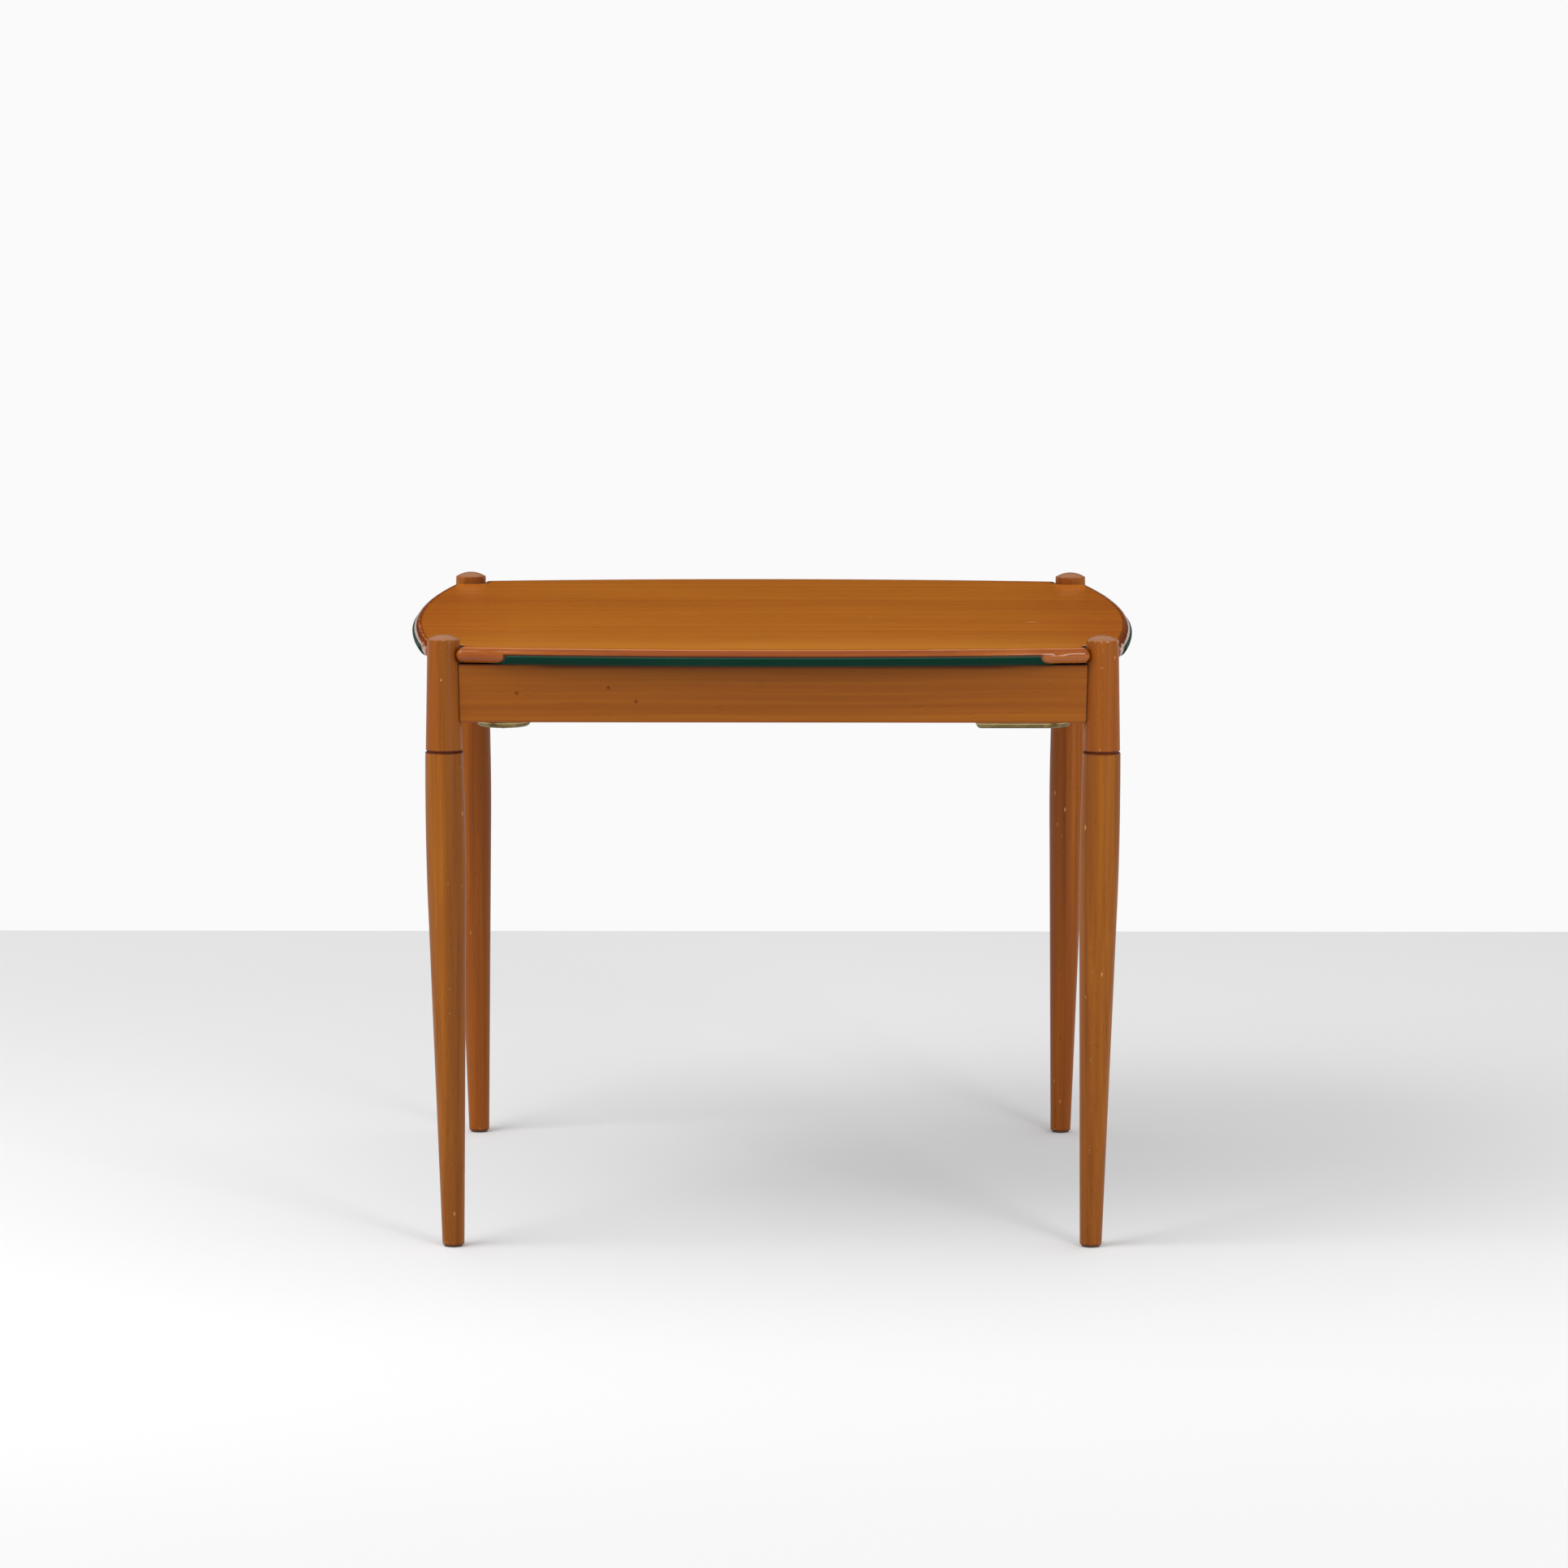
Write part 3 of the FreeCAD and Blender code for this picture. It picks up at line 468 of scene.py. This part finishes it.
def edge_wood(side, quarter):
    """A lipping, with a painted dark reflection along its arris on top and a cooler tone
    painted below, for the grey reflection there.
    """
    along = "Y" if quarter % 2 else "X"
    x, y = turned(0, -LIPPING_REACH, quarter)
    pith = ((y if along == "X" else x) + 0.4, 0.3)
    finish, colour, height = wood(
        f"polished_edge_{side}", along, pith,
        paint(134, 61, 6), paint(152, 75, 8), paint(168, 90, 12),
        spread=1.6, contrast=0.7, Specular_IOR_Level=0.36)
    colour, marks = dings(finish, colour, amount=0.8, scale=60, squeeze=(0.5, 0.5, 1))
    # a painted dark reflection along the upper round
    arris = (0.84, 0.78, 0.66) if along == "X" else (0.8, 0.64, 0.58)
    colour = finish.tint(colour, arris,
                         finish.z.rise(BOARD_TOP - 4.5 * MM, BOARD_TOP - 1.5 * MM) * 0.8)
    # a cooler tone on the lower round, painted for the grey reflection there
    colour = finish.tint(colour, (0.74, 0.76, 1.0),
                         finish.z.fall(BOARD_UNDER + 2 * MM, BOARD_UNDER + 10 * MM) * 0.8)
    # a painted shadow line where the cloth ends, along the side and across each corner
    spread = finish.x.size() + finish.y.size()
    seam = ((finish.z - SEAM).size().fall(1 * MM, 1.9 * MM)
            * spread.fall(CUT_REACH + 1 * MM, CUT_REACH + 2.4 * MM))
    cut = ((spread - CUT_REACH).size().fall(1.6 * MM, 3 * MM)
           * finish.z.fall(SEAM + 0.6 * MM, SEAM + 1.6 * MM))
    colour = finish.tint(colour, (0.16, 0.09, 0.05), seam.above(cut) * 0.9)
    # the finish is rubbed thin at each tip, and the notch behind it has painted shade
    outward = (finish.y if along == "X" else finish.x) * (1 if quarter in (1, 2) else -1)
    away = off_post(finish)
    tips = (away.fall(NOTCH_RADIUS + 0.4 * MM, NOTCH_RADIUS + 2.4 * MM)
            * outward.rise(POST_REACH + 12 * MM, POST_REACH + 16 * MM))
    colour = finish.mix(colour, paint(188, 134, 96), tips * 0.6)
    # painted shade in the notch about the post
    notches = (away.fall(NOTCH_RADIUS + 1.5 * MM, NOTCH_RADIUS + 5 * MM)
               * outward.fall(POST_REACH + 8 * MM, POST_REACH + 12 * MM))
    colour = finish.tint(colour, (0.3, 0.17, 0.1), notches)
    if side == "front":
        # painted highlight low towards the right tip; a knot and two knocks by the left one
        seam_highlight = finish.x.rise(0.2, 0.26) * finish.z.fall(SEAM - 0.5 * MM, SEAM + 1 * MM)
        colour = finish.mix(colour, paint(200, 128, 62), seam_highlight * 0.2)
        knot = spot(finish, (-0.3585, -0.4005, 0.6992), 1.1 * MM)
        colour = finish.mix(colour, paint(70, 26, 14), knot)
        for place in ((-0.3305, -0.4025, 0.7035), (-0.3425, -0.404, 0.6975)):
            colour = finish.mix(colour, paint(232, 168, 112),
                                spot(finish, place, 1.3 * MM) * 0.8)
    finish.set("Base Color", colour)
    wear = finish.noise(finish.where, 24, 3)
    finish.set("Roughness", 0.1 + wear * 0.07 + marks * 0.3 + notches * 0.7)
    finish.relief(height, 0.03 * MM, 0.3)
    return finish.material


def bare_wood(name, deep, middle, pale, shaded_reach=0.0):
    """Unlacquered wood; within the given distance of a post's axis it is painted dark, as
    shade in the board's notch.
    """
    finish, colour, height = wood(name, "X", (0.5, 0.3), deep, middle, pale,
                                  spread=1.4, contrast=1.0, Specular_IOR_Level=0.25)
    # painted shade in the board's notch, near each post
    if shaded_reach:
        colour = finish.mix(colour, paint(58, 28, 14),
                            off_post(finish).fall(shaded_reach, shaded_reach * 1.1))
    finish.set("Base Color", colour)
    finish.set("Roughness", 0.6 + height * 0.15)
    finish.relief(height, 0.12 * MM, 0.7)
    return finish.material


# Cloth, metal and the small parts

def baize():
    """Short felted wool, pressed flat, with a painted highlight along its top edge."""
    finish = Finish("green_baize", Roughness=0.95, Specular_IOR_Level=0.05,
                    Sheen_Weight=0.04, Sheen_Roughness=0.5)
    felt = finish.noise(finish.where, 1500, 4, 0.65)
    pile = finish.noise(finish.where, 420, 3, 0.6, 0.6)
    rub = finish.noise(finish.where, 9, 4, 0.55)
    lint = finish.noise(finish.where, 900, 1).rise(0.76, 0.8)
    # a painted highlight along the top edge, where the cloth turns up to the light
    rim = finish.z.rise(SEAM - 1.9 * MM, SEAM - 1.2 * MM)
    colour = finish.mix(paint(4, 34, 26), paint(13, 57, 43), felt * 0.55 + pile * 0.45)
    colour = finish.mix(colour, paint(30, 64, 50), rub.rise(0.52, 0.75) * 0.3)
    colour = finish.mix(colour, paint(100, 124, 104), lint * 0.4)
    colour = finish.mix(colour, paint(48, 84, 66), rim * (0.4 + pile * 0.5))
    finish.set("Base Color", colour)
    finish.relief(felt * 0.6 + pile * 0.6, 0.3 * MM, 0.8)
    return finish.material


def old_brass(name, dull):
    """Brass browned with age; bright at its rim, partly rubbed and partly a painted highlight,
    and along a painted glint line round its wall.
    """
    finish = Finish(name, Metallic=1.0)
    tarnish = finish.noise(finish.where, 34, 5, 0.62, 0.4)
    spots = finish.noise(finish.where, 260, 2, 0.6)
    brushed = finish.noise(finish.squeezed(900, 900, 40), 1.0)
    share = (0.68 + tarnish.rise(0.3, 0.62) * 0.22 + spots.rise(0.55, 0.7) * 0.1) * dull
    # the rim is brighter, partly rubbed and partly a painted highlight; a painted glint line
    # runs round the wall
    glints_and_rubbing = finish.z.rise(TRAY_RIM, TRAY_RIM + 1.2 * MM) * 0.8
    glints_and_rubbing = glints_and_rubbing.above((finish.z - GLINT_LINE).size().fall(0.2 * MM, 0.7 * MM) * 0.7)
    share = (share * (1 - glints_and_rubbing)).below(1)
    finish.set("Base Color", finish.mix(paint(218, 192, 126), paint(100, 90, 62), share))
    finish.set("Roughness", 0.2 + share * 0.22 + brushed * 0.06)
    finish.relief(brushed * 0.5 + spots * 0.5, 0.05 * MM, 0.5)
    return finish.material


def bright_steel():
    finish = Finish("zinc_steel", Metallic=1.0)
    grain = finish.noise(finish.where, 700, 3, 0.6)
    finish.set("Base Color", finish.mix(paint(150, 152, 156), paint(196, 198, 200), grain))
    finish.set("Roughness", 0.28 + grain * 0.2)
    finish.relief(grain, 0.04 * MM, 0.4)
    return finish.material


def soft_pad(name, dark, light, grain_scale, rough):
    """Felt, rubber or a worn plastic glide, told apart by its grain."""
    finish = Finish(name, Specular_IOR_Level=0.3)
    grain = finish.noise(finish.where, grain_scale, 4, 0.65)
    dust = finish.noise(finish.where, 60, 3).rise(0.5, 0.75)
    finish.set("Base Color", finish.mix(dark, light, grain * 0.7 + dust * 0.3))
    finish.set("Roughness", rough + grain * 0.1)
    finish.relief(grain, 0.2 * MM, 0.6)
    return finish.material


def dress(node, material):
    """Gives a carried piece its finish."""
    mesh = nodes[node].data
    mesh.materials.clear()
    mesh.materials.append(material)


steel = bright_steel()
block = bare_wood("bare_block", paint(150, 104, 62), paint(186, 138, 90),
                  paint(206, 162, 112))
core = bare_wood("board_core", paint(176, 140, 96), paint(200, 168, 120),
                 paint(216, 188, 144), shaded_reach=28 * MM)
brass = old_brass("aged_brass", 1.0)
pivot_brass = old_brass("turned_brass", 0.6)
fibre = soft_pad("waxed_fibre", paint(60, 34, 22), paint(104, 62, 40), 500, 0.6)
rubber = soft_pad("pad_rubber", paint(20, 19, 18), paint(44, 42, 40), 700, 0.75)
glide = soft_pad("worn_glide", paint(52, 46, 40), paint(110, 100, 88), 400, 0.6)

for quarter, corner in enumerate(CORNERS):
    dress(f"post_{corner}", post_wood(corner, quarter))
    dress(f"leg_{corner}", leg_wood(corner, quarter))
    dress(f"leg_stud_{corner}", steel)
    dress(f"leg_insert_{corner}", steel)
    dress(f"foot_glide_{corner}", glide)
    dress(f"corner_block_{corner}", block)
    dress(f"rest_pads_{corner}", rubber)
for quarter, side in enumerate(SIDES):
    dress(f"rail_{side}", rail_wood(side, quarter))
    dress(f"lipping_{side}", edge_wood(side, quarter))
    dress(f"tray_{side}", brass)
    dress(f"tray_pivot_{side}", pivot_brass)
    dress(f"tray_spacer_{side}", pivot_brass)
    dress(f"tray_washer_{side}", fibre)
dress("corner_block_screws", steel)
dress("top_veneer", top_wood())
dress("top_core", core)


def piece_from(mesh, name, material):
    """Makes an object of mesh code, with its material, and puts it in the scene."""
    data = bpy.data.meshes.new(name)
    mesh.to_mesh(data)
    mesh.free()
    data.materials.append(material)
    piece = bpy.data.objects.new(name, data)
    bpy.context.scene.collection.objects.link(piece)
    return piece


# The playing cloth, wrapped round the lower half of the board's edge

CLOTH_PROUD = 2.0 * MM
CLOTH_BOTTOM = BOARD_UNDER - 1.5 * MM
CLOTH_TOP = SEAM - 0.4 * MM
CLOTH_ROUND = 9.7 * MM
CLOTH_FIELD = CLOTH_ROUND * 3.8  # inset at which the flat field begins
CLOTH_WRAP = 3.2 * MM  # width of its top edge, part of it in the board's rebate
CLOTH_ROLL = 0.7 * MM  # the small round of that edge
CUT_INSIDE = 0.3 * MM
NIP_HEIGHT = 2.4 * MM  # a cut corner draws in over this height at the top
NIP_DEPTH = 2.2 * MM
SIDE_STEPS, CUT_STEPS = 60, 16


def quarter_round(steps):
    """Two shares at each step: one falls from 1 to 0 and the other rises from 0 to 1."""
    for step in range(steps + 1):
        angle = math.radians(90 * step / steps)
        yield 1 - math.sin(angle), 1 - math.cos(angle)


def cloth_section():
    """Inset from the side and height, from the field out, up the edge and back inside."""
    rows = [(CLOTH_FIELD, CLOTH_BOTTOM), (CLOTH_ROUND * 2, CLOTH_BOTTOM)]
    rows += [(CLOTH_ROUND * falling, CLOTH_BOTTOM + CLOTH_ROUND * rising)
             for falling, rising in quarter_round(8)]
    rows += [(CLOTH_ROLL * rising, CLOTH_TOP - CLOTH_ROLL * falling)
             for falling, rising in quarter_round(3)]
    rows.append((CLOTH_WRAP, CLOTH_TOP))
    inner = CLOTH_ROUND - CLOTH_WRAP
    rows += [(CLOTH_WRAP + inner * rising, BOARD_UNDER + inner * falling)
             for falling, rising in quarter_round(4)]
    rows.append((CLOTH_FIELD, BOARD_UNDER))
    return rows


def cloth_loop(inset, cut_reach):
    """One closed line of the cloth: four bowed sides and four straight cut corners."""
    radius = SIDE_RADIUS + CLOTH_PROUD - inset
    far = cut_reach + SIDE_OFFSET
    end = (far - math.sqrt(2 * radius ** 2 - far ** 2)) / 2
    low = SIDE_OFFSET - math.sqrt(radius ** 2 - end ** 2)
    points = []
    for quarter in range(4):
        for step in range(SIDE_STEPS):
            x = end * (2 * step / SIDE_STEPS - 1)
            y = SIDE_OFFSET - math.sqrt(radius ** 2 - x ** 2)
            points.append(turned(x, y, quarter))
        for step in range(CUT_STEPS):
            slide = (-low - end) * step / CUT_STEPS
            points.append(turned(end + slide, low + slide, quarter))
    return points


def bridge(mesh, ring, following):
    """Faces between two rings of points, as a list that starts at the first point."""
    count = len(ring)
    return [mesh.faces.new((ring[here], ring[(here + 1) % count],
                            following[(here + 1) % count], following[here]))
            for here in range(count)]


def make_cloth():
    mesh = bmesh.new()
    rings = []
    for inset, height in cloth_section():
        # the cut corner is nipped round where it ends at the top edge
        nip = max(0.0, height - (CLOTH_TOP - NIP_HEIGHT)) / NIP_HEIGHT
        drawn_in = NIP_DEPTH * (1 - math.sqrt(max(0.0, 1 - nip ** 2)))
        reach = CUT_REACH - CUT_INSIDE - drawn_in
        rings.append([mesh.verts.new((x, y, height)) for x, y in cloth_loop(inset, reach)])
    for ring, following in zip(rings, rings[1:]):
        for place, face in enumerate(bridge(mesh, ring, following)):
            # the folded sides are smooth, and the cut corners keep their hard edge
            face.smooth = place % (SIDE_STEPS + CUT_STEPS) < SIDE_STEPS
    # the flat field on each face, in rings that close on the middle
    for outer in (rings[0], rings[-1]):
        middle = mesh.verts.new((0, 0, outer[0].co.z))
        rim = outer
        for share in (0.75, 0.5, 0.25):
            smaller = [mesh.verts.new((vert.co.x * share, vert.co.y * share, vert.co.z))
                       for vert in outer]
            bridge(mesh, rim, smaller)
            rim = smaller
        for here, vert in enumerate(rim):
            mesh.faces.new((vert, rim[(here + 1) % len(rim)], middle))
    bmesh.ops.recalc_face_normals(mesh, faces=mesh.faces)
    return piece_from(mesh, "playing_cloth_baize", baize())


cloth = make_cloth()
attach(cloth, "top")
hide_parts("playing_cloth")


# Floor, background, lamps and camera

FLOOR_SIDE = 14  # how far the floor goes to the left, the right and the front
FLOOR_END = 2.09  # where the floor stops and the white background begins
BACK_FLOOR_END = 16
FLAG_PLACE = (0, 2.6, 1.4)
FLAG_HALF = (1.5, 0.68)
WHITE = paint(250, 250, 250)


def level_sheet(name, near, far, material):
    """A sheet on the floor, from one depth to another."""
    mesh = bmesh.new()
    mesh.faces.new([mesh.verts.new((x, y, 0)) for x, y in (
        (-FLOOR_SIDE, near), (FLOOR_SIDE, near), (FLOOR_SIDE, far), (-FLOOR_SIDE, far))])
    return piece_from(mesh, name, material)


def floor():
    """A pale floor that keeps the table's shadow, with painted shade: a darker tone towards
    the back, and darker at the very front.
    """
    finish = Finish("floor_paper", Roughness=0.9, Specular_IOR_Level=0.0)
    # painted shade: the darker tone at the back comes further forward on the right
    depth = finish.y + finish.x.rise(-1.1, 0.5) * 1.35 - 0.75
    grain = finish.noise(finish.where, 90, 3)
    colour = finish.mix(paint(244, 244, 245), paint(241, 241, 242), depth.rise(-0.75, 0.55))
    # painted shade over the front of the floor
    colour = finish.tint(colour, (0.87, 0.87, 0.87), finish.y.fall(-2.0, -0.7))
    finish.set("Base Color", finish.tint(colour, (0.985, 0.985, 0.985), grain))
    level_sheet("studio_floor", -FLOOR_SIDE, FLOOR_END, finish.material)


def hide_but_in_polish(piece):
    """Leaves a studio piece to glossy rays alone."""
    piece.visible_camera = False
    piece.visible_diffuse = False
    piece.visible_shadow = False
    piece.visible_transmission = False


def mirrored_floor():
    """The pale floor that goes on behind the table, seen only in polished edges."""
    paper = Finish("back_floor_paper", Base_Color=paint(244, 244, 244), Roughness=1.0,
                   Specular_IOR_Level=0.0)
    piece = level_sheet("studio_back_floor", FLOOR_END, BACK_FLOOR_END, paper.material)
    hide_but_in_polish(piece)


def flag():
    """A dark board behind the table, seen only in the polish of the top."""
    felt = Finish("flag_cloth", Base_Color=paint(40, 36, 32), Roughness=1.0,
                  Specular_IOR_Level=0.0)
    mesh = bmesh.new()
    bmesh.ops.create_grid(mesh, x_segments=1, y_segments=1, size=1)
    piece = piece_from(mesh, "studio_flag", felt.material)
    piece.matrix_world = (Matrix.Translation(FLAG_PLACE)
                          @ Matrix.Rotation(math.pi / 2, 4, "X")
                          @ Matrix.Diagonal((*FLAG_HALF, 1, 1)))
    hide_but_in_polish(piece)


def surroundings(lit, mirrored):
    """White to the camera, a dim room in reflections, and an even light otherwise."""
    world = bpy.data.worlds.new("studio")
    world.use_nodes = True
    tree = world.node_tree
    tree.nodes.clear()
    rays = tree.nodes.new("ShaderNodeLightPath")

    def even(colour):
        light = tree.nodes.new("ShaderNodeBackground")
        light.inputs["Color"].default_value = colour
        return light.outputs[0]

    shader = even(lit)
    for ray, colour in (("Is Glossy Ray", mirrored), ("Is Camera Ray", WHITE),
                        ("Is Transmission Ray", WHITE)):
        choose = tree.nodes.new("ShaderNodeMixShader")
        tree.links.new(rays.outputs[ray], choose.inputs[0])
        tree.links.new(shader, choose.inputs[1])
        tree.links.new(even(colour), choose.inputs[2])
        shader = choose.outputs[0]
    out = tree.nodes.new("ShaderNodeOutputWorld")
    tree.links.new(shader, out.inputs["Surface"])
    bpy.context.scene.world = world


def softbox(name, place, aim, width, height, power):
    lamp = bpy.data.lights.new(name, "AREA")
    lamp.shape = "RECTANGLE"
    lamp.size, lamp.size_y = width, height
    lamp.energy = power
    box = bpy.data.objects.new(name, lamp)
    box.location = place
    direction = Vector(aim) - Vector(place)
    box.rotation_mode = "QUATERNION"
    box.rotation_quaternion = direction.to_track_quat("-Z", "Y")
    bpy.context.scene.collection.objects.link(box)


def camera():
    """The photograph's view: a long lens, above the table and a little left of it."""
    place = Vector((-0.0317, -7.9275, 1.5153))
    pitch, yaw, roll = math.radians(7.3167), -0.0059, 0.0018
    focal, frame_side, sensor = 8086, 1932, 36  # pixels, pixels and millimetres
    turn = Matrix.Rotation(yaw, 3, "Z").transposed()
    level = Vector((1, 0, 0)) @ turn
    ahead = Vector((0, math.cos(pitch), -math.sin(pitch))) @ turn
    plumb = Vector((0, -math.sin(pitch), -math.cos(pitch))) @ turn
    right = math.cos(roll) * level - math.sin(roll) * plumb
    down = math.sin(roll) * level + math.cos(roll) * plumb
    lens = bpy.data.cameras.new("camera")
    lens.lens = focal / frame_side * sensor
    lens.sensor_width = sensor
    lens.clip_end = 200
    view = bpy.data.objects.new("camera", lens)
    view.matrix_world = (Matrix.Translation(place)
                         @ Matrix((right, -down, -ahead)).transposed().to_4x4())
    bpy.context.scene.collection.objects.link(view)
    bpy.context.scene.camera = view


floor()
mirrored_floor()
flag()
surroundings(lit=(0.70, 0.70, 0.70, 1), mirrored=(0.8, 0.78, 0.76, 1))
softbox("high_left", place=(-2.8, -1.8, 3.6), aim=(0, 0, 0.3),
        width=3.0, height=3.0, power=95)
softbox("front_right", place=(2.1, -4.0, 2.5), aim=(0, 0, 0.6),
        width=1.1, height=1.5, power=46)
softbox("right_strip", place=(2.8, -3.1, 0.8), aim=(0, 0, 0.5),
        width=0.5, height=1.5, power=9)
camera()
bpy.context.scene.view_settings.view_transform = "Standard"
